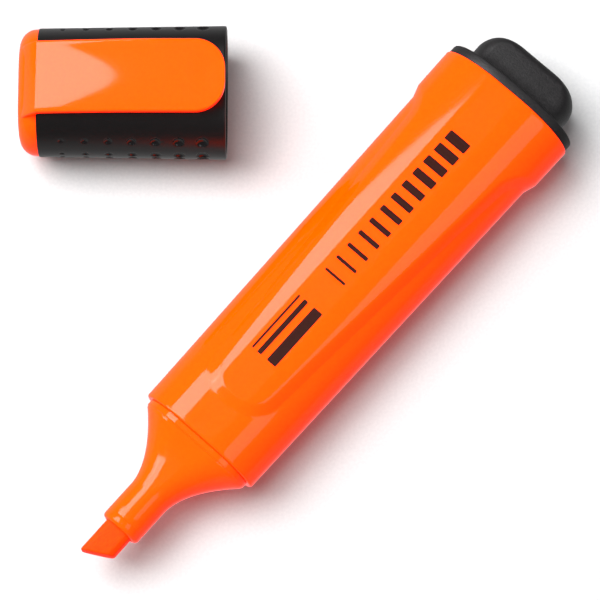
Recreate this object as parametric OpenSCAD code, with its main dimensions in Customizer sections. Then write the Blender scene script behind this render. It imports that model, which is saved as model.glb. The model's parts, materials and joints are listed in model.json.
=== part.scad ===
// Flat highlighter pen, lying uncapped on its broad face beside its cap.
// The pen's own axis runs from the nib's tip (s = 0) towards the tail, and the
// cap's own axis runs from its closed end (x = 0) to its mouth. Both lie level
// at the same height, so the cap can be turned in line and pushed on.

/* [Nib and holder] */
// Width of the chisel nib
nib_w = 4.9; // [4:0.1:5.2]
// Thickness of the chisel nib
nib_t = 3.8; // [3:0.1:4]
// Width of the bevel along the nib's long edges
nib_bevel = 0.8; // [0.4:0.1:1.2]
// How much shorter the nib is on one side than on the other
nib_slant = 2.5; // [1:0.1:3]
// Station of the holder's mouth, which is how far the nib's long side stands out
holder_mouth = 6.7; // [5:0.1:8]
// Outer radius of the round nib holder
holder_r = 3.65; // [3.55:0.05:3.7]
// Station where the holder starts to flare into the bell
bell_start = 13.9; // [12:0.1:14]
// Station where the bell reaches its full width
bell_end = 25.3; // [24:0.1:25.8]

/* [Barrel] */
// Station of the barrel's front edge, where the cap's mouth stops
shoulder_s = 26.4; // [26:0.1:28]
// Station of the barrel's rear edge
barrel_end = 104.4; // [104:0.1:108]
// Half of the barrel's width at its front edge
front_half_w = 11.5; // [11:0.1:12]
// Half of the barrel's width just before the tail's swell
rear_half_w = 12.5; // [12:0.1:12.8]
// Half of the swollen tail's width
tail_half_w = 13.4; // [13.2:0.1:14]
// Half of the barrel's thickness in front of the tail
front_half_t = 7.0; // [6.9:0.1:7.2]
// How far the tongues and the tail stand proud of the front of the barrel
raise = 0.7; // [0.4:0.1:0.9]
// Half-width of the flat strip along the middle of each broad face
flat_half = 3.7; // [3:0.1:4.5]
// Station of the rounded tip of each raised tongue
tongue_tip = 33.0; // [30:0.1:40]
// Length of a tongue's rounded tip
tongue_tip_len = 5.2; // [3:0.1:7]
// Half-width of a tongue just behind its rounded tip
tongue_half_w = 6.85; // [6:0.05:7.5]
// Growth of a tongue's half-width for each millimetre towards the tail
tongue_slope = 0.068; // [0.05:0.001:0.08]
// Width of the bevel round a tongue
bevel_w = 2.1; // [1:0.1:2.5]
// Wall of the barrel
wall = 1.15; // [1:0.05:1.2]

/* [End plug] */
// Thickness of the plug's flange
flange_t = 1.8; // [1.2:0.1:2.4]
// How far the flange stays inside the barrel's outline
flange_inset = 0.4; // [0.2:0.1:0.8]
// Half of the boss's width
boss_half_w = 9.95; // [9:0.05:11]
// Half of the boss's thickness
boss_half_t = 4.8; // [4.2:0.1:5.5]
// Corner radius of the boss, seen on its broad face
boss_r = 4.2; // [3:0.1:5]
// Station of the boss's end, which is the pen's whole length
pen_len = 112.7; // [111:0.1:116]

/* [Ink reservoir] */
// Radius of the fibre core
core_r = 4.4; // [4.2:0.05:4.45]
// Station of the core's front end
core_start = 22.8; // [22.8:0.1:23.2]
// Length of the core
core_len = 77.0; // [74:0.1:77]
// Length of the film sleeve round the core
film_len = 31.0; // [20:0.5:31]

/* [Cap] */
// Length of the cap
cap_len = 35.0; // [34.5:0.1:38]
// Half of the cap's width at its mouth
mouth_half_w = 11.5; // [11.4:0.1:12]
// Half of the cap's width where its coloured end begins
cap_rear_half_w = 11.0; // [10.8:0.1:11.3]
// Length of the cap's coloured end
cap_end_len = 3.2; // [3:0.1:4]
// Radius round the edge of the coloured end
cap_end_r = 2.9; // [2:0.1:2.95]
// Bore radius of the cup that seals round the nib holder
seal_r = 3.75; // [3.75:0.05:4.1]

/* [Clip] */
// Width of the clip
clip_w = 12.7; // [10:0.1:14]
// Thickness of the clip's strip
clip_t = 1.3; // [1:0.1:1.5]
// Height of the clip's top face above the cap's axis
clip_top = 10.6; // [10.2:0.1:11.5]
// Distance of the clip's tip from the cap's closed end
clip_tip = 34.9; // [30:0.1:36]
// Radius of the clip's tip corners
clip_r = 5.0; // [3:0.1:6]
// Radius of the bend where the clip wraps over the cap's closed end
clip_bend_r = 2.3; // [1.5:0.1:2.3]

/* [Layout] */
// Place of the nib's tip, left to right
pen_x = -33.61; // [-40:0.01:-30]
// Place of the nib's tip, front to back
pen_y = -45.92; // [-50:0.01:-40]
// Angle of the pen on the table, in degrees
pen_yaw = 48.5; // [40:0.1:60]
// Place of the cap's closed end, left to right
cap_x = -46.80; // [-50:0.01:-40]
// Place of the cap's axis, front to back
cap_y = 34.06; // [30:0.01:40]

/* [Hidden] */
$fn = 64;
orange = "#FF7A00";
ink_orange = "#FF6200";
fibre_white = "#F2E9DC";
film_clear = "#E9E6E0";
black = "#262324";
// Steps round each quarter of a section
quarter = 9;
// Clearance between pieces that slip into one another
slip = 0.1;
// How far a cut runs past the face that it opens
past = 0.5;
// Height of both axes above the table: the tail lies on its broad face
tail_half_t = front_half_t + raise;
axis_z = tail_half_t;
swell_start = 94.1;
swell_end = 97.0;
swell_steps = 4;
// Small chamfer round the moulded edges of barrel, flange and cap
edge = 0.4;
// The bell's base stays inside the barrel's outline by the cap's wall
bell_half_w = front_half_w - 1.0;
bell_half_t = front_half_t - 0.9;
bell_power = 1.75;
bell_steps = 10;
// Depth of a tongue's foot under the broad face, where the sides have curved away
tongue_root = 1.8;
lip_r = 0.75;
// Narrowing of the flat strip on the bell, the cap's cavity and its coloured end
flat_inset = 0.5;
// Half-width of the flat strip where the bell starts, so that its section stays open
least_flat = 0.05;
spigot_end = 33.0;
// The slot that grips the nib, and the wider round bore behind it
nib_slot = 4.0;
nib_bore_r = 3.2;
skirt_start = 98.0;
plug_wall = 1.2;
boss_wall = 1.5;
rib_t = 1.2;
rib_start = core_start + core_len + slip;
film_start = 24.6;
film_wall = 0.25;
nib_end = core_start - slip;
// The cap's cavity clears the bell's base all round
cavity_half_w = bell_half_w + 0.25;
cavity_half_t = bell_half_t + 0.2;
floor_t = 1.0;
cap_recess = 2.2;
// The coloured end's spigot, which plugs into the recess
plug_half_w = 9.9;
plug_half_t = 6.8;
cap_floor = cap_end_len + cap_recess + floor_t;
seal_end = 20.0;
seal_wall = 1.0;

// ---- shared shapes ----

// One section across the pen or the cap: a flat of half-width f on each broad
// face, joined by elliptical sides. a is half the width, b half the thickness.
function section(a, b, f) = concat(
    [for (i = [0 : quarter]) [f + (a - f) * sin(90 * i / quarter), b * cos(90 * i / quarter)]],
    [for (i = [1 : quarter]) [f + (a - f) * cos(90 * i / quarter), -b * sin(90 * i / quarter)]],
    [for (i = [0 : quarter]) [-f - (a - f) * sin(90 * i / quarter), -b * cos(90 * i / quarter)]],
    [for (i = [1 : quarter]) [-f - (a - f) * cos(90 * i / quarter), b * sin(90 * i / quarter)]]);

// Value that runs smoothly from 0 to 1 between two stations
function smooth(x, x0, x1) =
    let (t = min(max((x - x0) / (x1 - x0), 0), 1)) t * t * (3 - 2 * t);

// Solid skinned through rings of points, each ring with equally many, its ends
// closed flat. A ring runs clockwise seen from beyond the last one.
module skin(rings) {
    m = len(rings[0]);
    last = len(rings) - 1;
    start = [for (i = [m - 1 : -1 : 0]) i];
    end = [for (i = [0 : m - 1]) last * m + i];
    near = [for (k = [0 : last - 1], i = [0 : m - 1])
        [k * m + i, k * m + (i + 1) % m, (k + 1) * m + (i + 1) % m]];
    far = [for (k = [0 : last - 1], i = [0 : m - 1])
        [k * m + i, (k + 1) * m + (i + 1) % m, (k + 1) * m + i]];
    polyhedron(points = [for (ring = rings, p = ring) p], faces = concat([start, end], near, far));
}

// Ring of a section at a station along the axis
function ring(s, a, b, f) = [for (p = section(a, b, f)) [s, p[0], p[1]]];

// Straight bar of one section between two stations
module section_bar(s0, s1, a, b, f) {
    skin([ring(s0, a, b, f), ring(s1, a, b, f)]);
}

// Round bar along the axis between two stations
module bar(r, s0, s1) {
    translate([s0, 0, 0]) rotate([0, 90, 0]) cylinder(r = r, h = s1 - s0);
}

// Block centred on the axis between two stations
module block(s0, s1, w, t) {
    translate([s0, -w / 2, -t / 2]) cube([s1 - s0, w, t]);
}

module at_pen() {
    translate([pen_x, pen_y, axis_z]) rotate([0, 0, pen_yaw]) children();
}

module at_cap() {
    translate([cap_x, cap_y, axis_z]) children();
}

// ---- barrel ----

// Half of the barrel's width at a station, with the swell before the tail
function barrel_half_w(s) =
    let (grow = (rear_half_w - front_half_w) / (swell_start - shoulder_s),
         front = front_half_w + grow * (s - shoulder_s),
         tail = tail_half_w - grow * (barrel_end - s))
    front + (tail - front) * smooth(s, swell_start, swell_end);

function barrel_half_t(s) = front_half_t + raise * smooth(s, swell_start, swell_end);

module barrel_body() {
    swell = [for (i = [0 : swell_steps]) swell_start + (swell_end - swell_start) * i / swell_steps];
    middle = concat([shoulder_s + edge], swell, [barrel_end]);
    first = ring(shoulder_s, front_half_w - edge, front_half_t - edge, flat_half - edge / 2);
    skin(concat([first], [for (s = middle) ring(s, barrel_half_w(s), barrel_half_t(s), flat_half)]));
}

// Outline of a raised tongue, drawn in from its foot by an inset
function tongue_outline(inset) =
    let (back = tongue_tip + tongue_tip_len,
         reach = tongue_tip_len - inset,
         w = tongue_half_w - inset,
         rear_w = w + tongue_slope * (swell_end - back),
         side = [for (q = [0 : 10 : 90]) [back - reach * cos(q), w * sin(q)]])
    concat([for (i = [len(side) - 1 : -1 : 1]) [side[i][0], -side[i][1]]],
           side, [[swell_end, rear_w], [swell_end, -rear_w]]);

// Bevelled block that trims the raised layer to a tongue on the upper face
module tongue_trim() {
    foot = [for (p = tongue_outline(0)) [p[0], p[1], front_half_t - tongue_root]];
    top = [for (p = tongue_outline(bevel_w)) [p[0], p[1], tail_half_t + slip]];
    skin([foot, top]);
}

module tongues() {
    intersection() {
        skin([for (s = [tongue_tip - past, swell_end - past])
            ring(s, barrel_half_w(min(s, swell_start)) + raise / 2, tail_half_t, flat_half)]);
        union() {
            tongue_trim();
            mirror([0, 0, 1]) tongue_trim();
        }
    }
}

module barrel() {
    color(orange) at_pen() difference() {
        union() {
            barrel_body();
            tongues();
        }
        skin([for (s = [shoulder_s - past, swell_start, swell_end, barrel_end + past])
            ring(s, barrel_half_w(s) - wall, barrel_half_t(s) - wall, flat_half)]);
    }
}

// ---- front section, with its nib and the reservoir ----

// Share of the bell's growth reached at a station
function bell_share(s) = pow((s - bell_start) / (bell_end - bell_start), bell_power);

module bell() {
    skin([for (i = [0 : bell_steps])
        let (s = bell_start + (bell_end - bell_start) * i / bell_steps, k = bell_share(s))
        ring(s, holder_r + (bell_half_w - holder_r) * k, holder_r + (bell_half_t - holder_r) * k,
             least_flat + (flat_half - flat_inset - least_flat) * k)]);
    section_bar(bell_end, shoulder_s, bell_half_w, bell_half_t, flat_half - flat_inset);
}

module holder() {
    lip = [for (q = [0 : 15 : 90])
        [holder_r - lip_r + lip_r * sin(q), holder_mouth + lip_r - lip_r * cos(q)]];
    rotate([0, 90, 0]) rotate_extrude()
        polygon(concat([[0, holder_mouth]], lip, [[holder_r, bell_start + 1], [0, bell_start + 1]]));
}

module front_section() {
    color(orange) at_pen() difference() {
        union() {
            holder();
            bell();
            section_bar(shoulder_s, spigot_end, front_half_w - wall - slip, front_half_t - wall - slip,
                        flat_half);
        }
        block(holder_mouth - past, holder_mouth + nib_slot, nib_w + 2 * slip, nib_t + 2 * slip);
        bar(nib_bore_r, holder_mouth + nib_slot - 1, core_start + past);
        bar(core_r + slip, core_start, film_start);
        bar(core_r + 2 * slip + film_wall + slip, film_start - slip, spigot_end + past);
    }
}

module nib() {
    half_w = nib_w / 2;
    half_t = nib_t / 2;
    corner = 0.3;
    slope_t = nib_bevel * 0.7;
    color(ink_orange) at_pen() intersection() {
        translate([0, 0, -half_t]) linear_extrude(nib_t)
            polygon([[0, half_w - 2 * corner], [corner, half_w - corner / 2], [3 * corner, half_w],
                     [nib_end, half_w], [nib_end, -half_w], [nib_slant + corner, -half_w],
                     [nib_slant, corner - half_w]]);
        rotate([90, 0, 90]) linear_extrude(nib_end)
            polygon([[half_w, half_t - slope_t], [half_w - nib_bevel, half_t], [nib_bevel - half_w, half_t],
                     [-half_w, half_t - slope_t], [-half_w, slope_t - half_t],
                     [nib_bevel - half_w, -half_t], [half_w - nib_bevel, -half_t],
                     [half_w, slope_t - half_t]]);
    }
}

module reservoir_core() {
    color(fibre_white) at_pen() bar(core_r, core_start, core_start + core_len);
}

module reservoir_film() {
    color(film_clear) at_pen() difference() {
        bar(core_r + slip + film_wall, film_start, film_start + film_len);
        bar(core_r + slip, film_start - past, film_start + film_len + past);
    }
}

// ---- end plug ----

module boss(half_w, half_t, r, s1) {
    s0 = barrel_end + flange_t - past;
    intersection() {
        translate([0, 0, -half_t]) linear_extrude(2 * half_t) polygon(concat(
            [[s0, half_w]],
            [for (q = [90 : -10 : 0]) [s1 - r + r * cos(q), half_w - r + r * sin(q)]],
            [for (q = [0 : -10 : -90]) [s1 - r + r * cos(q), r - half_w + r * sin(q)]],
            [[s0, -half_w]]));
        section_bar(s0, s1, half_w + slip, half_t, half_w - half_t);
    }
}

module end_plug() {
    flange_end = barrel_end + flange_t;
    flange_w = tail_half_w - flange_inset;
    flange_half_t = tail_half_t - flange_inset;
    skirt_w = tail_half_w - wall - 2 * slip;
    skirt_t = tail_half_t - wall - slip;
    color(black) at_pen() {
        difference() {
            union() {
                skin([ring(barrel_end, flange_w, flange_half_t, flat_half),
                      ring(flange_end - edge, flange_w, flange_half_t, flat_half),
                      ring(flange_end, flange_w - edge, flange_half_t - edge, flat_half)]);
                section_bar(skirt_start, barrel_end, skirt_w, skirt_t, flat_half);
                boss(boss_half_w, boss_half_t, boss_r, pen_len);
            }
            section_bar(skirt_start - past, barrel_end, skirt_w - plug_wall, skirt_t - plug_wall,
                        flat_half);
            section_bar(barrel_end - past, pen_len - boss_wall, boss_half_w - boss_wall,
                        boss_half_t - boss_wall, flat_half);
        }
        intersection() {
            section_bar(rib_start, barrel_end + slip, skirt_w - plug_wall / 2, skirt_t - plug_wall / 2,
                        flat_half);
            union() {
                block(rib_start, barrel_end + slip, 2 * skirt_w, rib_t);
                block(rib_start, barrel_end + slip, rib_t, 2 * skirt_t);
            }
        }
    }
}

// ---- cap ----

// Half of the cap's width at a distance from its closed end
function cap_half_w(x) =
    cap_rear_half_w + (mouth_half_w - cap_rear_half_w) * (x - cap_end_len) / (cap_len - cap_end_len);

module cap_body() {
    taper = 0.5;
    color(black) at_cap() difference() {
        skin([ring(cap_end_len, cap_half_w(cap_end_len), tail_half_t, flat_half),
              ring(cap_len - edge, cap_half_w(cap_len - edge), tail_half_t, flat_half),
              ring(cap_len, mouth_half_w - edge, tail_half_t - edge, flat_half)]);
        skin([ring(cap_floor, cavity_half_w - taper, cavity_half_t - taper / 2, flat_half - flat_inset),
              ring(cap_len + past, cavity_half_w, cavity_half_t, flat_half - flat_inset)]);
        section_bar(cap_end_len - past, cap_end_len + cap_recess, plug_half_w + slip, plug_half_t + slip,
                    flat_half);
    }
}

module seal_cup() {
    color(black) at_cap() difference() {
        bar(seal_r + seal_wall, cap_floor, seal_end);
        bar(seal_r, cap_floor + seal_wall / 2, seal_end + past);
    }
}

// Rounded closed end, drawn in all round by an inset
module dome(inset) {
    w = cap_rear_half_w - slip - inset;
    t = tail_half_t - inset;
    r = cap_end_r - inset;
    rounded = [for (q = [0 : 15 : 90])
        ring(inset + r * (1 - cos(q)), w - r * (1 - sin(q)), t - r * (1 - sin(q)), flat_half - flat_inset)];
    skin(concat(rounded, [ring(cap_end_len, w, t, flat_half - flat_inset)]));
}

module cap_end() {
    shell = 1.2;
    spigot_end = cap_end_len + cap_recess;
    leg_x = cap_end_len - clip_bend_r;
    bend_z = clip_top - clip_bend_r;
    color(orange) at_cap() {
        difference() {
            union() {
                dome(0);
                section_bar(cap_end_len, spigot_end - slip, plug_half_w, plug_half_t, flat_half);
            }
            dome(shell);
            section_bar(cap_end_len - slip, spigot_end, plug_half_w - shell, plug_half_t - shell,
                        flat_half);
        }
        translate([0, clip_w / 2, 0]) rotate([90, 0, 0]) linear_extrude(clip_w) polygon(concat(
            [[cap_end_len, tail_half_t - shell / 2]],
            [[leg_x, tail_half_t - shell]],
            [for (q = [180 : -10 : 90])
                [cap_end_len + clip_bend_r * cos(q), bend_z + clip_bend_r * sin(q)]]));
    }
}

// ---- clip ----

module clip() {
    half_w = clip_w / 2;
    corner_x = clip_tip - clip_r;
    corner_y = half_w - clip_r;
    tip = concat(
        [for (q = [90 : -10 : 0]) [corner_x + clip_r * cos(q), corner_y + clip_r * sin(q)]],
        [for (q = [0 : -10 : -90]) [corner_x + clip_r * cos(q), clip_r * sin(q) - corner_y]]);
    bead_r = 0.9;
    bead_half_w = half_w - 2.5;
    bead_x = clip_tip - 3.5;
    color(orange) at_cap() {
        translate([0, 0, clip_top - clip_t]) linear_extrude(clip_t)
            polygon(concat([[cap_end_len, half_w]], tip, [[cap_end_len, -half_w]]));
        translate([bead_x, bead_half_w, clip_top - clip_t]) rotate([90, 0, 0])
            cylinder(r = bead_r, h = 2 * bead_half_w);
    }
}

barrel();
front_section();
nib();
reservoir_core();
reservoir_film();
end_plug();
cap_body();
seal_cup();
cap_end();
clip();
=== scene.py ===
# %% [markdown]
# # A flat highlighter beside its cap
# This lesson dresses a finished mechanical model of a highlighter. The mechanical model gives every
# size and place; here each moulding gets its true skin, and each plastic gets its own finish. Its
# box is kept and printed at the end.

# %% Load the mechanical model
import json
import math

import bpy
import numpy as np
from mathutils import Matrix, Vector


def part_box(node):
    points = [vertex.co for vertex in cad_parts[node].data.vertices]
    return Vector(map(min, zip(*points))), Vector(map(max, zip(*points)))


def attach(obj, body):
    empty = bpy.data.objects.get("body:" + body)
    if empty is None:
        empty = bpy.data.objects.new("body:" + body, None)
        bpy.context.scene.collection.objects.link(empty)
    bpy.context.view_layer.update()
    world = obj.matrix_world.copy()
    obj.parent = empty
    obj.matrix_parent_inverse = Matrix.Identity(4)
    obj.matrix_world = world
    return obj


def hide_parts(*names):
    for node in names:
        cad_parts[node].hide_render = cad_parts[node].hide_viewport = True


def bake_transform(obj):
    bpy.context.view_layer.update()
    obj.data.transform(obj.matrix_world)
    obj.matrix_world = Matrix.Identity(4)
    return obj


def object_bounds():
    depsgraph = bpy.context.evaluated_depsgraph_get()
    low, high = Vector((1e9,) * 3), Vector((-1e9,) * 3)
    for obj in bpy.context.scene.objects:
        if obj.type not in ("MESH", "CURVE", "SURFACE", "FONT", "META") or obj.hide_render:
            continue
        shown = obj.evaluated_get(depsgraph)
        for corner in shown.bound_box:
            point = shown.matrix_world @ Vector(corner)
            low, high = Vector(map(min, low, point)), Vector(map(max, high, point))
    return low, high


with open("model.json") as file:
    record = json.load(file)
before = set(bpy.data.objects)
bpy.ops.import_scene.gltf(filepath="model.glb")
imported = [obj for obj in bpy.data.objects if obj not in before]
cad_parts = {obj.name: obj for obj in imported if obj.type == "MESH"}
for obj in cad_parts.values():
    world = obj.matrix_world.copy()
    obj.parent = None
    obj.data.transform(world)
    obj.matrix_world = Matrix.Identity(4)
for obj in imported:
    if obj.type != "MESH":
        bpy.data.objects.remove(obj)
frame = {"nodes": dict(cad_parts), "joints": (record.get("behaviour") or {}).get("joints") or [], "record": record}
cad_box = [list(corner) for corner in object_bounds()]
record = frame["record"]
MM = 0.001
print("CAD nodes:", ", ".join(sorted(frame["nodes"])))

# %% [markdown]
# ## The camera
# The camera comes first, so that every later step can be seen through it. It stands nearly straight
# above the pen, with a long lens, which keeps the pen's sides almost parallel. It aims at a point given
# from the middle of the object's box, so it follows if the object is laid out anew.

# %% Make the camera
CAMERA_ELEVATION = math.radians(76.85)
CAMERA_DISTANCE = 521.8 * MM
LENS_MM = 187.3
SENSOR_MM = 36.0
AIM_FROM_MIDDLE = Vector((0.62, -2.12, 7.7)) * MM

low, high = (Vector(corner) for corner in cad_box)
middle = Vector(((low.x + high.x) / 2, (low.y + high.y) / 2, low.z))
aim = middle + AIM_FROM_MIDDLE
back = Vector((0, -math.cos(CAMERA_ELEVATION), math.sin(CAMERA_ELEVATION)))

camera_data = bpy.data.cameras.new("camera")
camera_data.lens = LENS_MM
camera_data.sensor_width = SENSOR_MM
camera_data.clip_end = 10
camera = bpy.data.objects.new("camera", camera_data)
camera.location = aim + back * CAMERA_DISTANCE
camera.rotation_euler = (-back).to_track_quat("-Z", "Y").to_euler()
bpy.context.scene.collection.objects.link(camera)
bpy.context.scene.camera = camera
print("camera at", [round(x, 4) for x in camera.location])

# %% [markdown]
# ## Two sets of axes
# The pen lies askew on the table, but every piece of it is easier to build along its own axis. So each
# piece is written in millimetres in the axes of the pen or of the cap, and one small function puts it
# in place. In the pen's axes, s runs from the nib's tip to the tail, w across and z up. In the cap's,
# s runs from the closed end to the mouth. Both come from the mechanical model: the direction in which
# the cap is pushed on, and the resting faces.


# %% Axes of the pen and of the cap
def axes(origin, direction):
    """Matrix from millimetres in a piece's own axes to metres on the table."""
    across = Vector((0, 0, 1)).cross(direction)
    turn = Matrix((direction, across, Vector((0, 0, 1)))).transposed()
    return Matrix.Translation(origin) @ turn.to_4x4() @ Matrix.Scale(MM, 4)


def span(node, placed):
    """Lowest and highest corner of a CAD node, in millimetres in a piece's own axes."""
    back_to_mm = placed.inverted()
    points = np.array([back_to_mm @ v.co for v in frame["nodes"][node].data.vertices])
    return points.min(0), points.max(0)


mounts = {mount["name"]: Vector(mount["pos_m"]) for mount in record["mounts"]}
push = next(joint for joint in frame["joints"] if joint["name"] == "cap_push")
pen_way = Vector(push["axis"]).normalized()
tail = mounts["tail_face"]
tip_step = min((v.co - tail).dot(pen_way) for v in frame["nodes"]["nib"].data.vertices)
PEN = axes(tail + pen_way * tip_step, pen_way)

cap_low, cap_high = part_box("cap_body")
cap_middle = (cap_low + cap_high) / 2
CAP = axes(Vector((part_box("cap_end")[0].x, cap_middle.y, cap_middle.z)), Vector((1, 0, 0)))
for name, placed in (("barrel", PEN), ("front_section", PEN), ("nib", PEN), ("end_plug", PEN),
                     ("cap_body", CAP), ("cap_end", CAP), ("clip", CAP)):
    print(name, [np.round(corner, 2).tolist() for corner in span(name, placed)])

# %% [markdown]
# ## Skins through rings
# Pens are slim mouldings, so nearly every piece can be skinned through rings of points set along its
# axis, the way a boat is planked over its frames. Each ring has equally many points, and a grid of
# four-sided faces joins one ring to the next. A solid piece is closed with a face at each end. A shell
# goes out along its outside and back along its inside, and its last ring joins its first.


# %% Build a mesh from rings
def place_mesh(name, points, faces, placed, sharp=40):
    """Object from points in millimetres in a piece's own axes, smooth except over sharp edges."""
    mesh = bpy.data.meshes.new(name)
    mesh.from_pydata([placed @ Vector(p) for p in points], [], faces)
    mesh.update()
    mesh.shade_smooth()
    mesh.set_sharp_from_angle(angle=math.radians(sharp))
    piece = bpy.data.objects.new(name, mesh)
    bpy.context.scene.collection.objects.link(piece)
    print(name, "has", len(mesh.polygons), "faces")
    return piece


def skin(name, rings, placed, shell=False, sharp=40):
    """Skin through rings of (s, w, z) points, each running from +z towards +w."""
    rings = np.asarray(rings, float)
    count, width = rings.shape[:2]
    steps = count if shell else count - 1
    faces = []
    for i in range(steps):
        here, there = i * width, (i + 1) % count * width
        for j in range(width):
            k = (j + 1) % width
            faces.append((here + j, here + k, there + k, there + j))
    if not shell:
        faces.append(tuple(range(width - 1, -1, -1)))
        faces.append(tuple((count - 1) * width + j for j in range(width)))
    return place_mesh(name, rings.reshape(-1, 3), faces, placed, sharp)


def section(half_w, half_t, flat, steps=12):
    """Section across the pen: a flat strip on each broad face, joined by elliptical sides."""
    q = np.linspace(0, np.pi / 2, steps + 1)
    w = flat + (half_w - flat) * np.sin(q)
    z = half_t * np.cos(q)
    upper = np.column_stack((w, z))
    lower = np.column_stack((w, -z))[::-1]
    right = np.vstack((upper, lower[1:]))
    return np.vstack((right, -right))


def ring(s, half_w, half_t, flat, steps=12):
    """Ring of a section at a station along the axis."""
    across = section(half_w, half_t, flat, steps)
    return np.column_stack((np.full(len(across), s), across))


def rounded_edge(s_face, s_body, radius, steps=5):
    """(station, inset) pairs that turn a face into a side over a rounded edge."""
    turn = np.linspace(0, np.pi / 2, steps + 1)
    way = 1 if s_body > s_face else -1
    return [(s_face + way * radius * (1 - math.cos(q)), radius * (1 - math.sin(q))) for q in turn]


# %% [markdown]
# ## Colour and nodes
# A screen colour is written as a hex code in sRGB, while the renderer reckons in linear light, so one
# function converts it. A second one adds a shader node with its settings and its incoming links. No real
# surface is even, so every finish here follows a fine pattern: where the pattern rises, the tone, the
# roughness and the relief change a little together. One last function holds that recipe.


# %% Helpers for materials
def linear(code):
    """Linear colour of an sRGB hex code."""
    parts = [int(code[i:i + 2], 16) / 255 for i in (1, 3, 5)]
    return [c / 12.92 if c <= 0.04045 else ((c + 0.055) / 1.055) ** 2.4 for c in parts] + [1.0]


def add(tree, kind, values=None, links=None, **settings):
    """Node of a kind with its settings, its input values and its incoming links."""
    node = tree.nodes.new(kind)
    for setting, value in settings.items():
        setattr(node, setting, value)
    for socket, value in (values or {}).items():
        node.inputs[socket].default_value = value
    for socket, source in (links or {}).items():
        tree.links.new(source, node.inputs[socket])
    return node


def start_material(name, **values):
    """Material with one Principled shader; returns the material, its tree and the shader."""
    material = bpy.data.materials.new(name)
    material.use_nodes = True
    tree = material.node_tree
    shader = tree.nodes["Principled BSDF"]
    for socket, value in values.items():
        shader.inputs[socket.replace("_", " ")].default_value = value
    return material, tree, shader


def grain_along(tree, placed, stretch):
    """Coordinates in metres along the pen, squeezed along its axis by a stretch."""
    here = add(tree, "ShaderNodeTexCoord").outputs["Object"]
    yaw = placed.to_euler().z
    turned = add(tree, "ShaderNodeMapping", {"Rotation": (0, 0, -yaw)}, {"Vector": here})
    squeezed = add(tree, "ShaderNodeMapping", {"Scale": (1 / stretch, 1, 1)},
                   {"Vector": turned.outputs[0]})
    return squeezed.outputs[0]


def vary(tree, shader, pattern, tones, roughness=None, depth=None, spread=(0.35, 0.65)):
    """Surface that follows a pattern: two tones, a range of roughness and a relief of a depth."""
    ramp = add(tree, "ShaderNodeValToRGB", links={"Fac": pattern})
    for stop, position, tone in zip(ramp.color_ramp.elements, spread, tones):
        stop.position = position
        stop.color = linear(tone)
    tree.links.new(ramp.outputs["Color"], shader.inputs["Base Color"])
    if roughness:
        rough = add(tree, "ShaderNodeMapRange", {"To Min": roughness[0], "To Max": roughness[1]},
                    {"Value": pattern})
        tree.links.new(rough.outputs["Result"], shader.inputs["Roughness"])
    if depth:
        relief = add(tree, "ShaderNodeBump", {"Distance": depth}, {"Height": pattern})
        tree.links.new(relief.outputs["Normal"], shader.inputs["Normal"])


print("mid grey #808080 is", round(linear("#808080")[0], 3), "in linear light")

# %% [markdown]
# ## Fluorescent polypropylene
# The barrel, the front section and the clip are injection-moulded polypropylene, in a steel mould with
# polished walls, so the surface is smooth with the faint waviness of plastic that shrank as it set.
# The pigment is a daylight fluorescent one. It turns blue and green light into orange and red, so its
# shaded sides stay red instead of going brown. A constant red emission stands for that, and it is partly
# painted glow: it shines the same in light and in shade, lifts the shaded sides and throws red light into
# the shadows on the table. Polypropylene's index of refraction is 1.49. It is set lower here, so that the
# white surroundings don't wash out the colour at the sides, and the lamps are stronger to make up for it.
# A grain of pigment is far too fine to show, so the mottle is drawn as specks of a little over half a
# millimetre.

# %% Orange plastic
PIGMENT_SPECK = 0.6 * MM
MOULD_WAVE = 5.0 * MM
WAVE_DEPTH = 0.003 * MM
ORANGE_TONES = ("#FF4400", "#FF4800")


def fluorescent_polypropylene():
    """Polished orange moulding: even, deep colour with crisp reflections, and a painted red glow."""
    # Painted glow: a constant red emission, partly the pigment's fluorescence and partly painted light that lifts
    # the shaded sides and reddens the table's shadows.
    material, tree, shader = start_material(
        "fluorescent_polypropylene", IOR=1.33, Emission_Color=linear("#FF0A00"),
        Emission_Strength=0.85)
    here = add(tree, "ShaderNodeTexCoord").outputs["Object"]
    speck = add(tree, "ShaderNodeTexNoise", {"Scale": 1 / PIGMENT_SPECK, "Detail": 3.0},
                {"Vector": here}).outputs["Fac"]
    wave = add(tree, "ShaderNodeTexNoise", {"Scale": 1 / MOULD_WAVE, "Detail": 1.0},
               {"Vector": here}).outputs["Fac"]
    vary(tree, shader, speck, ORANGE_TONES, roughness=(0.045, 0.08), spread=(0.3, 0.7))
    relief = add(tree, "ShaderNodeBump", {"Distance": WAVE_DEPTH}, {"Height": wave})
    tree.links.new(relief.outputs["Normal"], shader.inputs["Normal"])
    return material


orange_plastic = fluorescent_polypropylene()
print("orange base", [round(c, 3) for c in linear(ORANGE_TONES[0])])

# %% [markdown]
# ## Black mouldings
# The cap is a black moulding with a satin skin, and the end plug came out of a mould that was eroded by
# sparks, which leaves a fine even grain of about a fifth of a millimetre. The eye reads it as black
# that scatters light into a soft grey sheen. The grain is drawn a little coarser than it is, because
# otherwise it would be lost between the samples of the render. The dimples of the cap were pressed by
# polished pins, so their bottoms are glossier and read as darker, with small sharp highlights.

# %% Black plastics
SPARK_GRAIN = 0.28 * MM
SATIN_GRAIN = 0.45 * MM


def black_moulding(name, index, tones, grain, depth, roughness):
    """Black plastic with a fine grain of a width and a depth: a sheen that breaks up as it spreads."""
    material, tree, shader = start_material(name, IOR=index)
    here = add(tree, "ShaderNodeTexCoord").outputs["Object"]
    fine = add(tree, "ShaderNodeTexNoise", {"Scale": 1 / grain, "Detail": 2.0, "Roughness": 0.6},
               {"Vector": here}).outputs["Fac"]
    vary(tree, shader, fine, tones, roughness, depth)
    return material


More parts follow.
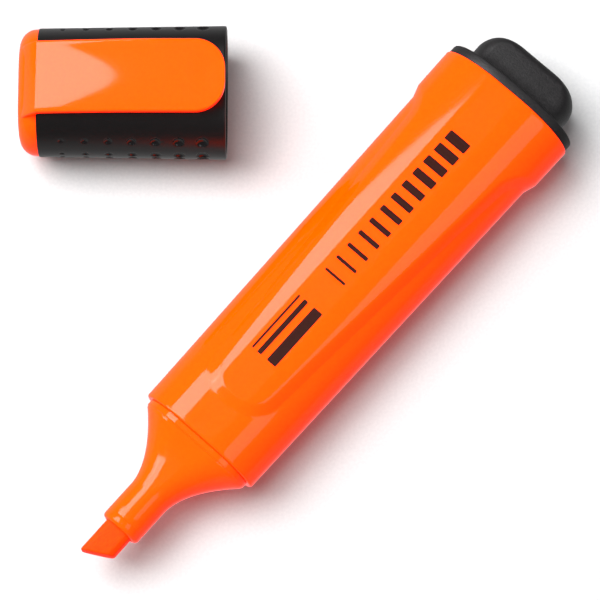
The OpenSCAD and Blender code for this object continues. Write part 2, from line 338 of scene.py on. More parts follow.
spark_eroded_black = black_moulding(
    "spark_eroded_black", 1.43, ("#0B0A0B", "#171516"), SPARK_GRAIN, 0.050 * MM, (0.38, 0.55))
satin_black = black_moulding(
    "satin_black", 1.48, ("#050404", "#090708"), SATIN_GRAIN, 0.006 * MM, (0.30, 0.40))
polished_black = black_moulding(
    "polished_black", 1.5, ("#070506", "#0B090A"), SATIN_GRAIN, 0.001 * MM, (0.14, 0.2))
print("black plastics:", spark_eroded_black.name, satin_black.name, polished_black.name)

# %% [markdown]
# ## Barrel
# The barrel is a thin flat tube. On each broad face a long tongue stands proud, with a bevel all round,
# and towards the tail it runs out into a swollen band that goes right round the tube. In the mould that
# is one cavity wall milled a little deeper. Here it is one height over the plain tube: the distance of
# each point from the tongue's outline says how far up the bevel it is. The grid's lines follow the
# outline, so the bevel comes out clean.

# %% Sizes of the barrel
tube_low, tube_high = span("barrel", PEN)
FRONT, REAR = tube_low[0], tube_high[0]
FRONT_HALF_W, GROWTH = 11.5, 0.0137
RAISE = 0.7
HALF_T = tube_high[2] - RAISE
FLAT = 2.0
TONGUE_TIP, TIP_LENGTH = 33.0, 5.2
TONGUE_HALF_W, TONGUE_SLOPE = 6.85, 0.068
BEVEL, BEVEL_EASE = 2.15, 0.07
FLARE_START, FLARE_END = 91.0, 94.7
WALL = 1.15
TOP_LINES, BEVEL_LINES, SIDE_LINES = 26, 10, 16
print("barrel from", round(FRONT, 2), "to", round(REAR, 2), "half-thickness", round(HALF_T, 2))


# %% The plain tube's section, by the length round it
def quadrant(half_w, half_t, flat, count=160):
    """Points, outward normals and lengths from the middle of the top to the middle of the side."""
    q = np.linspace(0, np.pi / 2, count)
    w = np.concatenate(([0], flat + (half_w - flat) * np.sin(q)))
    z = np.concatenate(([half_t], half_t * np.cos(q)))
    length = np.concatenate(([0], np.cumsum(np.hypot(np.diff(w), np.diff(z)))))
    nw = np.concatenate(([0], np.sin(q) * half_t))
    nz = np.concatenate(([half_t], np.cos(q) * (half_w - flat)))
    size = np.hypot(nw, nz)
    return w, z, length, nw / size, nz / size


def full_ring(s, w, z):
    """Ring mirrored to all four quadrants from the one between top and side."""
    right = np.column_stack((np.concatenate((w, w[-2::-1])), np.concatenate((z, -z[-2::-1]))))
    left = -right[1:-1]
    points = np.vstack((right, left))
    return np.column_stack((np.broadcast_to(np.asarray(s), (len(points),)), points))


# %% The tongue's outline and its bevel
def tube_half_w(s):
    """Half the plain tube's width at a station."""
    return FRONT_HALF_W + GROWTH * (s - FRONT)


def around(s, w):
    """Length round the tube, from the middle of the top, of a point w across."""
    ws, _, length, _, _ = quadrant(tube_half_w(s), HALF_T, FLAT)
    return float(np.interp(w, ws, length))


def side_length(s):
    """Length round the tube from the middle of the top to the middle of the side."""
    return quadrant(tube_half_w(s), HALF_T, FLAT)[2][-1]


def tongue_outline(step=0.25, reach=12):
    """Outline of the raised layer as (station, length round the tube), eased over some points."""
    shoulder = TONGUE_TIP + TIP_LENGTH
    tip = [(shoulder - TIP_LENGTH * math.cos(q), TONGUE_HALF_W * math.sin(q))
           for q in np.radians(np.arange(0, 90, 5))]
    sides = [(s, around(s, TONGUE_HALF_W + TONGUE_SLOPE * (s - shoulder)))
             for s in np.arange(shoulder, FLARE_START + 0.1, 2.0)]
    last_s, last_c = sides[-1]
    over = side_length(FLARE_END)
    flare = [(last_s + (FLARE_END - last_s) * math.sin(q), over - (over - last_c) * math.cos(q))
             for q in np.radians(np.arange(10, 91, 8))]
    corners = np.array(tip + sides + flare)
    along = np.concatenate(([0], np.cumsum(np.hypot(*np.diff(corners, axis=0).T))))
    even = np.arange(0, along[-1], step)
    drawn = np.column_stack([np.interp(even, along, corners[:, k]) for k in (0, 1)])
    mirrored = drawn[reach:0:-1] * [1, -1]
    beyond = drawn[-1] + (drawn[-1] - drawn[-reach - 1:-1][::-1]) * [-1, 1]
    window = np.hanning(reach + 3)[1:-1]
    weights = window / window.sum()
    held = np.vstack((mirrored, drawn, beyond))
    eased = np.column_stack([np.convolve(held[:, k], weights, "same") for k in (0, 1)])
    return eased[reach:-reach]


outline = tongue_outline()


def inside_distance(s, c):
    """Distance of points inside the outline, below zero outside it."""
    a, b = outline[:-1], outline[1:]
    p = np.column_stack((s, np.abs(c)))[:, None, :]
    ab = b - a
    t = np.clip(((p - a) * ab).sum(-1) / (ab * ab).sum(-1), 0, 1)
    nearest = np.sqrt(((p - a - t[..., None] * ab) ** 2).sum(-1)).min(1)
    edge_c = np.interp(s, outline[:, 0], outline[:, 1], left=-1e3, right=1e3)
    return np.where(np.abs(c) < edge_c, nearest, -nearest)


def soft(t, ease):
    """Ramp that stays at zero below zero and grows like t above it, eased at the corner."""
    return (t + np.sqrt(t * t + ease * ease)) / 2


def bevel_height(distance):
    """Share of the raise reached at a distance inside the outline."""
    t = distance / BEVEL
    return soft(t, BEVEL_EASE) - soft(t - 1, BEVEL_EASE)


print("outline has", len(outline), "points; a side is", round(side_length(60), 2), "mm round")


# %% Build the barrel
def tube_columns(s):
    """Lengths round the tube of the grid's lines at a station, which follow the tongue's bevel."""
    shoulder = TONGUE_TIP + TIP_LENGTH
    foot = around(s, TONGUE_HALF_W + TONGUE_SLOPE * (min(max(s, shoulder), FLARE_START) - shoulder))
    crest = foot - BEVEL
    gap = 0.2
    return np.concatenate((
        np.linspace(0, crest - gap, TOP_LINES), np.linspace(crest, foot, BEVEL_LINES),
        [foot + gap], np.linspace(foot + 4 * gap, side_length(s), SIDE_LINES)))


def tube_ring(s, inset=0.0):
    """Ring of the barrel's outside at a station."""
    w, z, length, nw, nz = quadrant(tube_half_w(s), HALF_T, FLAT)
    c = tube_columns(s)
    up = RAISE * bevel_height(inside_distance(np.full(len(c), s), c)) - inset
    return full_ring(s, np.interp(c, length, w) + up * np.interp(c, length, nw),
                     np.interp(c, length, z) + up * np.interp(c, length, nz))


def bore_ring(s, wall):
    """Ring of the barrel's inside, a wall inside the plain tube or the swollen tail."""
    grown = RAISE if s > FLARE_END else 0.0
    w, z, length, nw, nz = quadrant(tube_half_w(s), HALF_T, FLAT)
    c = tube_columns(s)
    return full_ring(s, np.interp(c, length, w) + (grown - wall) * np.interp(c, length, nw),
                     np.interp(c, length, z) + (grown - wall) * np.interp(c, length, nz))


def build_barrel():
    """Shell of the barrel, with close rings where the tongue's tip and the swollen tail bend."""
    edge, rear_edge, close = 0.35, 0.2, 0.18
    shoulder = TONGUE_TIP + TIP_LENGTH
    nose = [tube_ring(s, inset) for s, inset in rounded_edge(FRONT, FRONT + 1, edge)]
    stations = np.concatenate((
        np.arange(FRONT + 0.8, TONGUE_TIP - 0.6, 1.0),
        np.arange(TONGUE_TIP - 0.5, shoulder + 2.6, close),
        np.arange(shoulder + 3.4, FLARE_START - 1.5, 1.2),
        np.arange(FLARE_START - 1, FLARE_END + 3.4, close),
        np.arange(FLARE_END + 4, REAR - 0.6, 1.0)))
    heel = [tube_ring(s, inset) for s, inset in reversed(rounded_edge(REAR, REAR - 1, rear_edge, 3))]
    inside = [bore_ring(s, WALL) for s in (REAR, FLARE_END + 2.5, FLARE_END - 0.5, FRONT)]
    rings = nose + [tube_ring(s) for s in stations] + heel + inside
    return skin("barrel_shell", rings, PEN, shell=True, sharp=50)


barrel_shell = build_barrel()
barrel_shell.data.materials.append(orange_plastic)
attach(barrel_shell, "pen")
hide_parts("barrel")

# %% [markdown]
# ## Front section
# The round holder that grips the nib flares into a bell, which meets the barrel in a narrow straight
# lip. It is one moulding, pushed into the barrel's front. The mould's two halves leave a hair-fine line
# round the holder. A skin through rings suits it: circles for the holder, flat ovals for the bell, and
# a last few rings that turn in over the rounded mouth and shrink to the slot for the nib.

# %% Build the front section
HOLDER_R, LIP_R = 3.65, 0.75
MOUTH = span("front_section", PEN)[0][0]
BELL_START, BELL_END, BELL_POWER = 13.9, 25.3, 1.75
BASE_HALF_W, BASE_HALF_T, BASE_FLAT = 10.5, 6.1, 3.2
NIB_HALF_W, NIB_HALF_T = 2.45, 1.9
BELL_RINGS, QUARTER_STEPS = 34, 16


def bell_ring(s):
    """Ring of the bell, which swells from the round holder to the flat base by a power curve."""
    k = max((s - BELL_START) / (BELL_END - BELL_START), 0) ** BELL_POWER
    return ring(s, HOLDER_R + (BASE_HALF_W - HOLDER_R) * k, HOLDER_R + (BASE_HALF_T - HOLDER_R) * k,
                BASE_FLAT * k, QUARTER_STEPS)


def build_front_section():
    """Nib slot, rounded mouth, holder with its parting line, bell, lip and the spigot in the barrel."""
    slot, slot_depth, slot_edge, slot_flat = 1.14, 2.0, 0.1, 1.5
    slot_w, slot_t = NIB_HALF_W * slot, NIB_HALF_T * slot
    rings = [ring(MOUTH + slot_depth, slot_w, slot_t, slot_flat, QUARTER_STEPS),
             ring(MOUTH + 0.25, slot_w, slot_t, slot_flat, QUARTER_STEPS),
             ring(MOUTH, slot_w + slot_edge, slot_t + slot_edge, 1.2, QUARTER_STEPS)]
    for s, inset in rounded_edge(MOUTH, MOUTH + 1, LIP_R, 7):
        rings.append(ring(s, HOLDER_R - inset, HOLDER_R - inset, 0, QUARTER_STEPS))
    parting, groove, groove_half = MOUTH + 1.7, 0.05, 0.12
    for step, depth in ((-groove_half, 0), (0, groove), (groove_half, 0)):
        rings.append(ring(parting + step, HOLDER_R - depth, HOLDER_R - depth, 0, QUARTER_STEPS))
    straight_end = 10.5
    rings += [bell_ring(s) for s in np.linspace(straight_end, BELL_END - 0.25, BELL_RINGS)]
    base_edge, back_edge, spigot_inset, spigot = 0.16, 0.12, 0.4, 4
    for s, inset in ((BELL_END - 0.05, base_edge), (BELL_END + 0.12, 0), (FRONT - back_edge, 0),
                     (FRONT, back_edge), (FRONT + 0.02, spigot_inset), (FRONT + spigot, spigot_inset)):
        rings.append(ring(s, BASE_HALF_W - inset, BASE_HALF_T - inset, BASE_FLAT, QUARTER_STEPS))
    return skin("bell_and_holder", rings, PEN, sharp=35)


bell_and_holder = build_front_section()
bell_and_holder.data.materials.append(orange_plastic)
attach(bell_and_holder, "pen")
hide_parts("front_section")

# %% [markdown]
# ## Nib
# The nib is a bar of polyester fibre, bonded with resin and ground to a chisel: a slanted end, and
# narrow bevels along the edges. Ink has soaked it, so it is a deeper orange than the plastic, and its
# fibres run along it. Its rings lean like the slanted end, so one skin makes the whole bar. The soaked
# surface hardly shines, which a low index of refraction and a high roughness give. A polyester fibre is
# a few hundredths of a millimetre thick, too fine to show, so the strands are drawn wider.

# %% Soaked fibre
STRAND = 0.12 * MM
STRAND_STRETCH, STRAND_DEPTH = 9.0, 0.04 * MM


def soaked_polyester_fibre():
    """Ink-soaked fibre: a deep matt orange with fine strands along the nib, and a painted red glow."""
    # Painted glow: a constant red emission that keeps the nib bright red-orange in its shade.
    material, tree, shader = start_material(
        "soaked_polyester_fibre", IOR=1.18, Emission_Color=linear("#FF1000"), Emission_Strength=0.5)
    along = grain_along(tree, PEN, STRAND_STRETCH)
    strands = add(tree, "ShaderNodeTexNoise", {"Scale": 1 / STRAND, "Detail": 3.0},
                  {"Vector": along}).outputs["Fac"]
    vary(tree, shader, strands, ("#FF2E00", "#FF3C00"), (0.45, 0.7), STRAND_DEPTH)
    return material


soaked_fibre = soaked_polyester_fibre()
print(soaked_fibre.name, "with strands", round(STRAND / MM, 2), "mm wide")


# %% Build the nib
def soften(corners, radius, steps=4):
    """Closed outline through corners, each rounded to about a radius."""
    corners = [np.array(c, float) for c in corners]
    points = []
    for i, here in enumerate(corners):
        before, after = corners[i - 1], corners[(i + 1) % len(corners)]
        start = here + (before - here) * min(radius / np.linalg.norm(before - here), 0.5)
        end = here + (after - here) * min(radius / np.linalg.norm(after - here), 0.5)
        for t in np.linspace(0, 1, steps + 1):
            points.append((1 - t) ** 2 * start + 2 * t * (1 - t) * here + t * t * end)
    return np.array(points)


def build_nib():
    """Bevelled bar whose rings lean along the slanted end."""
    chamfer_w, chamfer_t, slant, corner = 0.8, 0.56, 2.7, 0.25
    w, t = NIB_HALF_W, NIB_HALF_T
    across = soften([(w - chamfer_w, t), (w, t - chamfer_t), (w, chamfer_t - t), (w - chamfer_w, -t),
                     (chamfer_w - w, -t), (-w, chamfer_t - t), (-w, t - chamfer_t), (chamfer_w - w, t)],
                    corner)
    end = MOUTH + 1.9
    rings = []
    for depth, share in ((0.0, 0.84), (0.05, 0.92), (0.18, 0.975), (0.4, 1.0), (1.4, 1.0), (2.6, 1.0),
                         (end, 1.0)):
        wz = across * share
        lean = slant * (w - wz[:, 0]) / (2 * w)
        stay = 1 - depth / end
        rings.append(np.column_stack((depth + lean * stay, wz)))
    return skin("chisel_nib", rings, PEN, sharp=35)


chisel_nib = build_nib()
chisel_nib.data.materials.append(soaked_fibre)
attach(chisel_nib, "pen")
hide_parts("nib")

# %% [markdown]
# ## End plug
# A black plug closes the tail: a thin flange over the barrel's rim, and a boss with rounded corners to
# pull it by. One skin makes both. The flange's edge is turned by two small radii, and the boss narrows
# along a quarter circle seen from above and along a smaller one seen from the side.

# %% Build the end plug
FLANGE_T, FLANGE_INSET = 1.8, 0.4
BOSS_HALF_W, BOSS_HALF_T = 9.95, 4.8
BOSS_R, BOSS_EDGE, BOSS_CORNER = 4.2, 1.3, 3.0


def build_end_plug():
    """Plug in the tail, flange and boss in one skin."""
    rear = span("end_plug", PEN)[1][0]
    neck, neck_inset, seat = 3, 1.5, REAR + 0.05
    flange_w = tube_high[1] - FLANGE_INSET
    flange_t = tube_high[2] - FLANGE_INSET
    flange_end = REAR + FLANGE_T
    turns = [(REAR - neck, neck_inset), (seat, neck_inset)]
    turns += rounded_edge(seat, REAR + 1, 0.2, 3)
    turns += reversed(rounded_edge(flange_end, REAR, 0.4, 4))
    rings = [ring(s, flange_w - inset, flange_t - inset, FLAT) for s, inset in turns]
    fillet = 0.3
    boss_flat = BOSS_HALF_W - BOSS_CORNER
    rings += [ring(flange_end, BOSS_HALF_W + fillet, BOSS_HALF_T + fillet, boss_flat),
              ring(flange_end + 0.1, BOSS_HALF_W + 0.1, BOSS_HALF_T + 0.1, boss_flat)]
    turned = rear - BOSS_R + BOSS_R * np.sin(np.radians(np.arange(0, 91, 6)))
    for s in (flange_end + fillet, *turned):
        turn = max(s - (rear - BOSS_R), 0)
        half_w = BOSS_HALF_W - BOSS_R + math.sqrt(max(BOSS_R ** 2 - turn ** 2, 0))
        lift = max(s - (rear - BOSS_EDGE), 0)
        half_t = BOSS_HALF_T - BOSS_EDGE + math.sqrt(max(BOSS_EDGE ** 2 - lift ** 2, 0))
        rings.append(ring(s, half_w, half_t, half_w - BOSS_CORNER))
    return skin("tail_plug", rings, PEN, sharp=40)


tail_plug = build_end_plug()
tail_plug.data.materials.append(spark_eroded_black)
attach(tail_plug, "pen")
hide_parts("end_plug")

# %% [markdown]
# ## Cap body
# The cap is a thin black shell. Round each narrow side run four rows of dimples that grow towards the
# mouth, for the grip of a finger and thumb. A dimple is a shallow piece of a sphere pressed into the
# skin, and its bottom gets the polished black. The grid of the shell is made fine just where the dimples
# lie, so that they are real relief and not a drawn pattern, and stays coarse between them.

# %% Sizes of the cap
CAP_FRONT = span("cap_body", CAP)[0][0]
CAP_MOUTH = span("cap_body", CAP)[1][0]
CAP_HALF_T = span("cap_body", CAP)[1][2]
CAP_REAR_W, CAP_MOUTH_W, CAP_FLAT = 11.0, 11.5, 3.7
ROWS_AT = (55.5, 82.5)
FIRST_DIMPLE, DIMPLE_STEP, DIMPLES = 7.26, 3.957, 7
SMALLEST, LARGEST = 0.45, 1.05
DIMPLE_DEPTH, DIMPLE_ROUND, PIN_SHARE = 0.5, 0.65, 0.97
CAVITY_W, CAVITY_T, CAVITY_FLOOR = 10.75, 6.3, 6.4


def cap_half_w(x):
    """Half the cap's width at a station."""
    return CAP_REAR_W + (CAP_MOUTH_W - CAP_REAR_W) * (x - CAP_FRONT) / (CAP_MOUTH - CAP_FRONT)


dimples = [(FIRST_DIMPLE + DIMPLE_STEP * k, SMALLEST + (LARGEST - SMALLEST) * k / (DIMPLES - 1))
           for k in range(DIMPLES)]
print(len(dimples) * len(ROWS_AT) * 4, "dimples, radius", SMALLEST, "to", LARGEST, "mm")


# %% Build the cap body
CLOSE = 0.13


def refined(start, end, centres, reach, fine, coarse):
    """Values from start to end, close together near the centres and wide apart elsewhere."""
    values = [start]
    while values[-1] < end - fine:
        near = any(abs(values[-1] + fine / 2 - c) < r for c, r in zip(centres, reach))
        ahead = min([c - r - values[-1] for c, r in zip(centres, reach) if c - r > values[-1]] + [coarse])
        values.append(values[-1] + (fine if near else max(min(coarse, ahead), fine)))
    values[-1] = end
    return np.array(values)


def row_length(x, angle):
    """Length round the cap of a row of dimples."""
    half_w = cap_half_w(x)
    w, _, length, _, _ = quadrant(half_w, CAP_HALF_T, CAP_FLAT)
    return float(np.interp(CAP_FLAT + (half_w - CAP_FLAT) * math.sin(math.radians(angle)), w, length))


def cap_ring(x, shares, inset=0.0):
    """Ring of the cap's outside with the dimples pressed in."""
    w, z, length, nw, nz = quadrant(cap_half_w(x), CAP_HALF_T, CAP_FLAT)
    c = shares * length[-1]
    sunk = np.full(len(c), inset)
    for centre, radius in dimples:
        if abs(centre - x) > radius + 0.2:
            continue
        for angle in ROWS_AT:
            away = np.hypot(c - row_length(x, angle), x - centre) / radius
            sunk = sunk + DIMPLE_DEPTH * radius * np.clip(1 - away ** 2, 0, 1) ** DIMPLE_ROUND
    return full_ring(x, np.interp(c, length, w) - sunk * np.interp(c, length, nw),
                     np.interp(c, length, z) - sunk * np.interp(c, length, nz))


def build_cap_body():
    """Shell of the cap, with close lines only where the dimples lie."""
    side = quadrant(cap_half_w(CAP_MOUTH), CAP_HALF_T, CAP_FLAT)[2][-1]
    centres = [row_length(CAP_MOUTH, angle) for angle in ROWS_AT]
    shares = refined(0, side, centres, [LARGEST + 0.2] * len(centres), CLOSE, 0.7) / side
    stations = refined(CAP_FRONT + 0.3, CAP_MOUTH - 0.4, [x for x, _ in dimples],
                       [r + 0.15 for _, r in dimples], CLOSE, 0.8)
    lip = 0.32
    rings = [cap_ring(CAP_FRONT, shares, 1.2)]
    rings += [cap_ring(s, shares, inset) for s, inset in rounded_edge(CAP_FRONT, CAP_MOUTH, 0.15, 3)]
    rings += [cap_ring(s, shares) for s in stations]
    rings += [cap_ring(s, shares, inset) for s, inset in reversed(rounded_edge(CAP_MOUTH, CAP_FRONT, lip))]
    for x, grow in ((CAP_MOUTH, 0.12), (CAP_MOUTH - 0.25, 0.0), (CAVITY_FLOOR, -0.5)):
        w, z, length, _, _ = quadrant(CAVITY_W + grow, CAVITY_T + grow / 2, CAP_FLAT - 0.5)
        c = shares * length[-1]
        rings.append(full_ring(x, np.interp(c, length, w), np.interp(c, length, z)))
    return skin("cap_shell", rings, CAP, sharp=40)


cap_shell = build_cap_body()
cap_shell.data.materials.append(satin_black)
cap_shell.data.materials.append(polished_black)


def in_dimple(point):
    """True for a point in the cap's axes that lies in one of the dimples."""
    near = [(centre, radius) for centre, radius in dimples if abs(point.x - centre) < radius]
    if not near:
        return False
    half_w = cap_half_w(point.x)
    w, z, length, _, _ = quadrant(half_w, CAP_HALF_T, CAP_FLAT)
    c = length[np.argmin(np.hypot(w - abs(point.y), z - abs(point.z)))]
    rows = np.interp(CAP_FLAT + (half_w - CAP_FLAT) * np.sin(np.radians(ROWS_AT)), w, length)
    return any(math.hypot(point.x - centre, c - row) < radius * PIN_SHARE
               for centre, radius in near for row in rows)


to_cap = CAP.inverted()
FINE_FACE = (0.2 * MM) ** 2
for face in cap_shell.data.polygons:
    place = to_cap @ face.center
    if face.area < FINE_FACE and abs(place.y) > CAVITY_W - 3 and in_dimple(place):
        face.material_index = 1
print(sum(face.material_index for face in cap_shell.data.polygons), "polished faces in the dimples")
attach(cap_shell, "cap")
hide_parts("cap_body")

# %% [markdown]
# ## Closed end of the cap
# The closed end is orange again: a low dome with a generous round edge, plugged into the black shell.

# %% Build the cap's end
END_R = 2.9


def build_cap_end():
    """Low dome with a round edge, and the seat that goes into the black shell."""
    half_w, seat = CAP_REAR_W - 0.1, 1.3
    rings = [ring(s, half_w - inset, CAP_HALF_T - inset, CAP_FLAT - 0.5)
             for s, inset in rounded_edge(0, CAP_FRONT, END_R, 12)]
    rings.append(ring(CAP_FRONT, half_w, CAP_HALF_T, CAP_FLAT - 0.5))
    rings.append(ring(CAP_FRONT + 0.02, half_w - seat, CAP_HALF_T - seat, CAP_FLAT - 0.5))
    return skin("cap_dome", rings, CAP, sharp=40)


cap_dome = build_cap_end()
cap_dome.data.materials.append(orange_plastic)
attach(cap_dome, "cap")
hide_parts("cap_end")

# %% [markdown]
# ## Clip
# The clip is a flat strip that rises from the closed end, turns over a bend and runs along the cap to a
# wide rounded tip. It is springy because it is thin and held at one end only. The strip is skinned along
# its own bent path, with softly rounded edges. The top isn't quite flat: it arches down towards the
# root, most along its middle, which catches the light in a pale pointed patch. It crosses the joint
# between cap and clip.

# %% Sizes of the clip
CLIP_HALF_W, CLIP_T, CLIP_R = 6.35, 1.3, 5.0
CLIP_TOP = span("clip", CAP)[1][2]
CLIP_TIP = span("clip", CAP)[1][0]
CLIP_EDGE = 0.4
ROOT = CAP_FRONT + 0.1
REACH_AT_EDGE, REACH_AT_MIDDLE = 9.5, 21.0
LEAN_X, LEAN_W = 0.857, 0.515
MID_TILT, MOST_TILT, ARCH = 0.044, 0.11, 0.004
SINK_X, SINK_DEPTH, SINK_LENGTH, SINK_W = 3.3, 0.16, 1.7, 3.0
WRAP_R, WRAP_FROM, WRAP_TO = 8.4, math.radians(38), math.radians(84)
WRAP_RINGS, RUN_RINGS, TIP_RINGS, TOP_POINTS = 14, 50, 22, 26
print("clip from", round(ROOT, 2), "to", round(CLIP_TIP, 2), "mm, top at", round(CLIP_TOP, 2))


def dish(x, w):
    """How far the strip's top lies below its tip, by adding up its tilt along a leaning path."""
    run = np.linspace(0, 1, 80)[:, None] * (CLIP_TIP - x) / LEAN_X
    path_x, path_w = x + LEAN_X * run, w - LEAN_W * run
    bow = np.clip(1 - (path_w / CLIP_HALF_W) ** 2, 0, 1) ** 1.5
    reach = REACH_AT_EDGE + (REACH_AT_MIDDLE - REACH_AT_EDGE) * bow
    tilt = np.clip(MID_TILT + ARCH * (reach - path_x), 0, MOST_TILT)
    sink = SINK_DEPTH * np.exp(-((x - CLIP_TIP + SINK_X) / SINK_LENGTH) ** 2 - (w / SINK_W) ** 2)
    return tilt.mean(0) * (CLIP_TIP - x) / LEAN_X + sink


# %% Build the clip
def strip_ring(x, z, out_x, out_z, half_w, dished, share=1.0):
    """Ring across the strip, its top face at (x, z) with an outward normal."""
    across = soften([(-half_w, 0), (-half_w, -CLIP_T), (half_w, -CLIP_T), (half_w, 0)], CLIP_EDGE, 4)
    top = [(w, 0.0) for w in np.linspace(half_w - CLIP_EDGE, CLIP_EDGE - half_w, TOP_POINTS)[1:-1]]
    across = np.vstack((across, top))
    down = dish(dished, across[:, 0])
    down = down.mean() + share * (down - down.mean())
    down = np.where(across[:, 1] < -CLIP_EDGE, np.minimum(down, CLIP_T), down)
    return np.column_stack((x + across[:, 1] * out_x, across[:, 0],
                            z - down + across[:, 1] * out_z))


def build_clip():
    """Wrap over the closed end, straight run and round tip."""
    rings = []
    for a in np.linspace(WRAP_TO, WRAP_FROM, WRAP_RINGS):
        x = ROOT - WRAP_R * (math.sin(a) - math.sin(WRAP_FROM))
        z = CLIP_TOP - WRAP_R * (math.cos(WRAP_FROM) - math.cos(a))
        share = ((WRAP_TO - a) / (WRAP_TO - WRAP_FROM)) ** 3
        rings.append(strip_ring(x, z, -math.sin(a), math.cos(a), CLIP_HALF_W, ROOT, share))
    for x in np.linspace(ROOT + 0.25, CLIP_TIP - CLIP_R - 0.5, RUN_RINGS):
        rings.append(strip_ring(x, CLIP_TOP, 0.0, 1.0, CLIP_HALF_W, x))
    for q in np.radians(np.linspace(0, 88, TIP_RINGS)):
        x = CLIP_TIP - CLIP_R + CLIP_R * math.sin(q)
        half_w = CLIP_HALF_W - CLIP_R + CLIP_R * math.cos(q)
        rings.append(strip_ring(x, CLIP_TOP, 0.0, 1.0, half_w, x))
    return skin("clip_strip", rings, CAP, sharp=26)


clip_strip = build_clip()
clip_strip.data.materials.append(orange_plastic)
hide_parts("clip")
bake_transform(clip_strip)

# %% [markdown]
# ## Print
# A pad printer lays a film of dark ink a few hundredths of a millimetre thick on the tongue. A row of
# upright strokes, from thin to thick, stands for the widths that the nib can draw, and a small sign of
# three lines says the same. Each is a thin closed slab, so it can be seen and felt as a layer. The slab
# reaches down into the plastic, because the tongue falls away a little to both sides. Dried ink is matt
# and soaks up light, so its index of refraction is set low and its roughness high.

# %% Print in dark ink
INK_DOT = 0.2 * MM


def pad_printing_ink():
    """Dried dark ink: flat brown-black that hardly mirrors anything."""
    material, tree, shader = start_material("pad_printing_ink", IOR=1.25)
    here = add(tree, "ShaderNodeTexCoord").outputs["Object"]
    fleck = add(tree, "ShaderNodeTexNoise", {"Scale": 1 / INK_DOT, "Detail": 2.0},
                {"Vector": here}).outputs["Fac"]
    vary(tree, shader, fleck, ("#1E0400", "#280702"), (0.4, 0.55))
    return material


printing_ink = pad_printing_ink()
PRINT_TOP = tube_high[2]
INK_T, INK_ROOT = 0.02, 0.08


def print_strokes(name, strokes):
    """One object of thin rounded slabs, each (s from, s to, w from, w to)."""
    points, faces = [], []
    for s0, s1, w0, w1 in strokes:
        loop = soften([(s0, w0), (s0, w1), (s1, w1), (s1, w0)], 0.25, 3)
        n, first = len(loop), len(points)
        points += [(s, w, PRINT_TOP - INK_ROOT) for s, w in loop]
        points += [(s, w, PRINT_TOP + INK_T) for s, w in loop]
        faces.append(tuple(first + j for j in range(n)))
        faces.append(tuple(first + n + j for j in range(n - 1, -1, -1)))
        faces += [(first + j, first + n + j, first + n + (j + 1) % n, first + (j + 1) % n)
                  for j in range(n)]
    piece = place_mesh(name, points, faces, PEN)
    piece.data.materials.append(printing_ink)
    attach(piece, "pen")
    return piece


STROKES, FIRST_STROKE, STROKE_STEP = 12, 61.0, 2.8
THINNEST, THICKER_BY = 0.5, 0.13
STROKE_FROM, STROKE_TO = -1.65, 2.65
width_row = []
for i in range(STROKES):
    thick = THINNEST + THICKER_BY * i
    middle_s = FIRST_STROKE + STROKE_STEP * i
    width_row.append((middle_s - thick / 2, middle_s + thick / 2, STROKE_FROM, STROKE_TO))
print_strokes("printed_width_row", width_row)
SIGN_START, SIGN_END = 43.0, 54.8
sign = [(SIGN_START, SIGN_END, w0, w1) for w0, w1 in ((2.6, 3.0), (0.9, 1.8), (-2.2, -0.3))]
print_strokes("printed_width_sign", sign)

# %% [markdown]
# ## Pieces inside
# The ink core, its film and the seal cup are plain turned or cut shapes, and the mechanical model has
# them right. They keep that model's meshes and only get their materials: loose polyester fibre soaked
# with ink, drawn with strands wide enough to show, and a film with creases a millimetre or two apart.

# %% Finish the pieces inside
CORE_STRAND, CORE_STRETCH, CORE_DEPTH = 0.2 * MM, 12.0, 0.05 * MM
CREASE, CREASE_STRETCH, CREASE_DEPTH = 1.5 * MM, 4.0, 0.03 * MM


def inner_fibre():
    """Loose fibre that holds the ink: matt, pale orange, with strands along it."""
    material, tree, shader = start_material("inked_core_fibre", IOR=1.5, Sheen_Weight=0.2)
    along = grain_along(tree, PEN, CORE_STRETCH)
    strands = add(tree, "ShaderNodeTexNoise", {"Scale": 1 / CORE_STRAND, "Detail": 3.0},
                  {"Vector": along}).outputs["Fac"]
    vary(tree, shader, strands, ("#FF7A1E", "#FF9A4A"), (0.7, 0.9), CORE_DEPTH)
    return material


def clear_film():
    """Thin wrapped film: nearly clear, with faint creases that shine."""
    material, tree, shader = start_material("clear_film", IOR=1.5, Alpha=0.35)
    along = grain_along(tree, PEN, CREASE_STRETCH)
    crease = add(tree, "ShaderNodeTexNoise", {"Scale": 1 / CREASE, "Detail": 2.0},
                 {"Vector": along}).outputs["Fac"]
    vary(tree, shader, crease, ("#E4E0D8", "#F2EFE8"), (0.12, 0.3), CREASE_DEPTH)
    return material


for node, finish in (("reservoir_core", inner_fibre()), ("reservoir_film", clear_film()),
                     ("seal_cup", satin_black)):
    mesh = frame["nodes"][node].data
    mesh.materials.clear()
    mesh.materials.append(finish)
    print(node, "has", mesh.materials[0].name)

# %% [markdown]
# ## Table and light
# The table is a plain white sheet. A wide soft box hangs to the left and behind, and it draws the long
# pale strips on the orange plastic and the patch on the clip. A smaller one stands lower beyond its end
# and catches the tongue's front bevel, and a weak one on the right draws the second strip. A panel
# overhead fills the shadows; it lights the object but isn't mirrored in it, which keeps the colours
# deep. For the same reason the table isn't mirrored: in mirror directions below the horizon, the
# world's lower half stands in for it, a good deal darker than white card.

# %% Table
CARD_TOOTH = 0.5 * MM
TABLE_HALF = 1.5


def white_card():
    """Matt card; its albedo is low, because the lamps are strong enough to turn it white."""
    material, tree, shader = start_material("white_card", Roughness=0.9)
    here = add(tree, "ShaderNodeTexCoord").outputs["Object"]
    tooth = add(tree, "ShaderNodeTexNoise", {"Scale": 1 / CARD_TOOTH, "Detail": 2.0},
                {"Vector": here}).outputs["Fac"]
    vary(tree, shader, tooth, ("#AAAAAB", "#AFAFAF"))
    return material


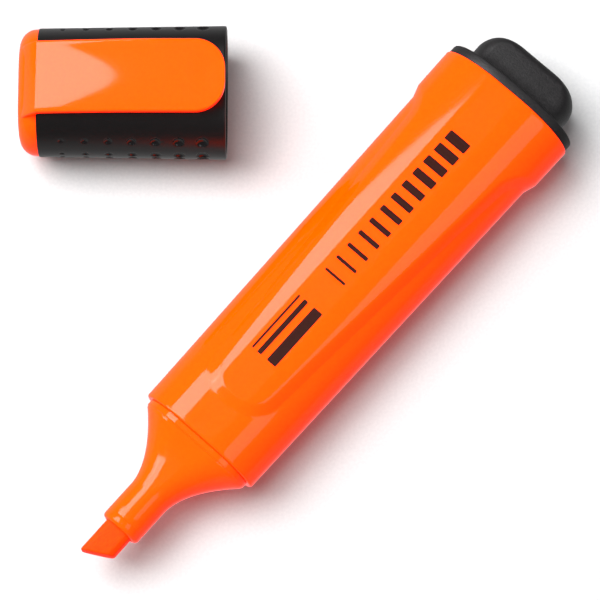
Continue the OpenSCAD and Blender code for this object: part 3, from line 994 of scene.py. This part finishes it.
table_mesh = bpy.data.meshes.new("table")
table_mesh.from_pydata([(x, y, low.z) for x, y in (
    (-TABLE_HALF, -TABLE_HALF), (TABLE_HALF, -TABLE_HALF), (TABLE_HALF, TABLE_HALF),
    (-TABLE_HALF, TABLE_HALF))], [], [(0, 1, 2, 3)])
table = bpy.data.objects.new("table", table_mesh)
bpy.context.scene.collection.objects.link(table)
table_mesh.materials.append(white_card())
table.visible_glossy = False
print("table", 2 * TABLE_HALF, "m wide at height", round(low.z, 5))


# %% Lights
def soft_box(name, way, distance, width, height, radiance, mirrored=True):
    """Rectangular lamp in a direction from the object, facing it, of a given radiance."""
    lamp = bpy.data.lights.new(name, "AREA")
    lamp.shape = "RECTANGLE"
    lamp.size = width
    lamp.size_y = height
    lamp.energy = radiance * math.pi * width * height
    box = bpy.data.objects.new(name, lamp)
    toward = Vector(way).normalized()
    box.location = middle + toward * distance
    box.rotation_euler = toward.to_track_quat("Z", "Y").to_euler()
    box.visible_camera = False
    box.visible_glossy = mirrored
    bpy.context.scene.collection.objects.link(box)
    print(name, "power", round(lamp.energy, 2), "W")
    return box


soft_box("wide_soft_box", (-0.485, 0.2915, 0.824), 1.4, 1.05, 0.68, 8.8)
soft_box("end_soft_box", (-0.75, 0.303, 0.588), 1.4, 0.65, 0.37, 8.0)
soft_box("side_soft_box", (0.489, -0.24, 0.839), 1.4, 0.80, 0.55, 1.8)
soft_box("main_panel", (-0.34, 0.14, 0.93), 1.0, 0.8, 0.8, 9.4, mirrored=False)

ABOVE, BELOW = 0.20, 0.50
world = bpy.data.worlds.new("studio")
world.use_nodes = True
sky = world.node_tree
way = add(sky, "ShaderNodeTexCoord").outputs["Generated"]
up = add(sky, "ShaderNodeSeparateXYZ", links={"Vector": way}).outputs["Z"]
glow = add(sky, "ShaderNodeMapRange",
           {"From Min": -0.15, "From Max": 0.05, "To Min": BELOW, "To Max": ABOVE},
           {"Value": up}).outputs["Result"]
sky.nodes["Background"].inputs["Color"].default_value = linear("#FFFFFF")
sky.links.new(glow, sky.nodes["Background"].inputs["Strength"])
bpy.context.scene.world = world
bpy.context.scene.view_settings.view_transform = "Standard"

# %% [markdown]
# ## The mechanical model's box
# The finished object may not outgrow the mechanical model, so the mechanical model's box is printed.

# %% Print the mechanical model's box
print("CAD box", np.round(cad_box, 5).tolist())
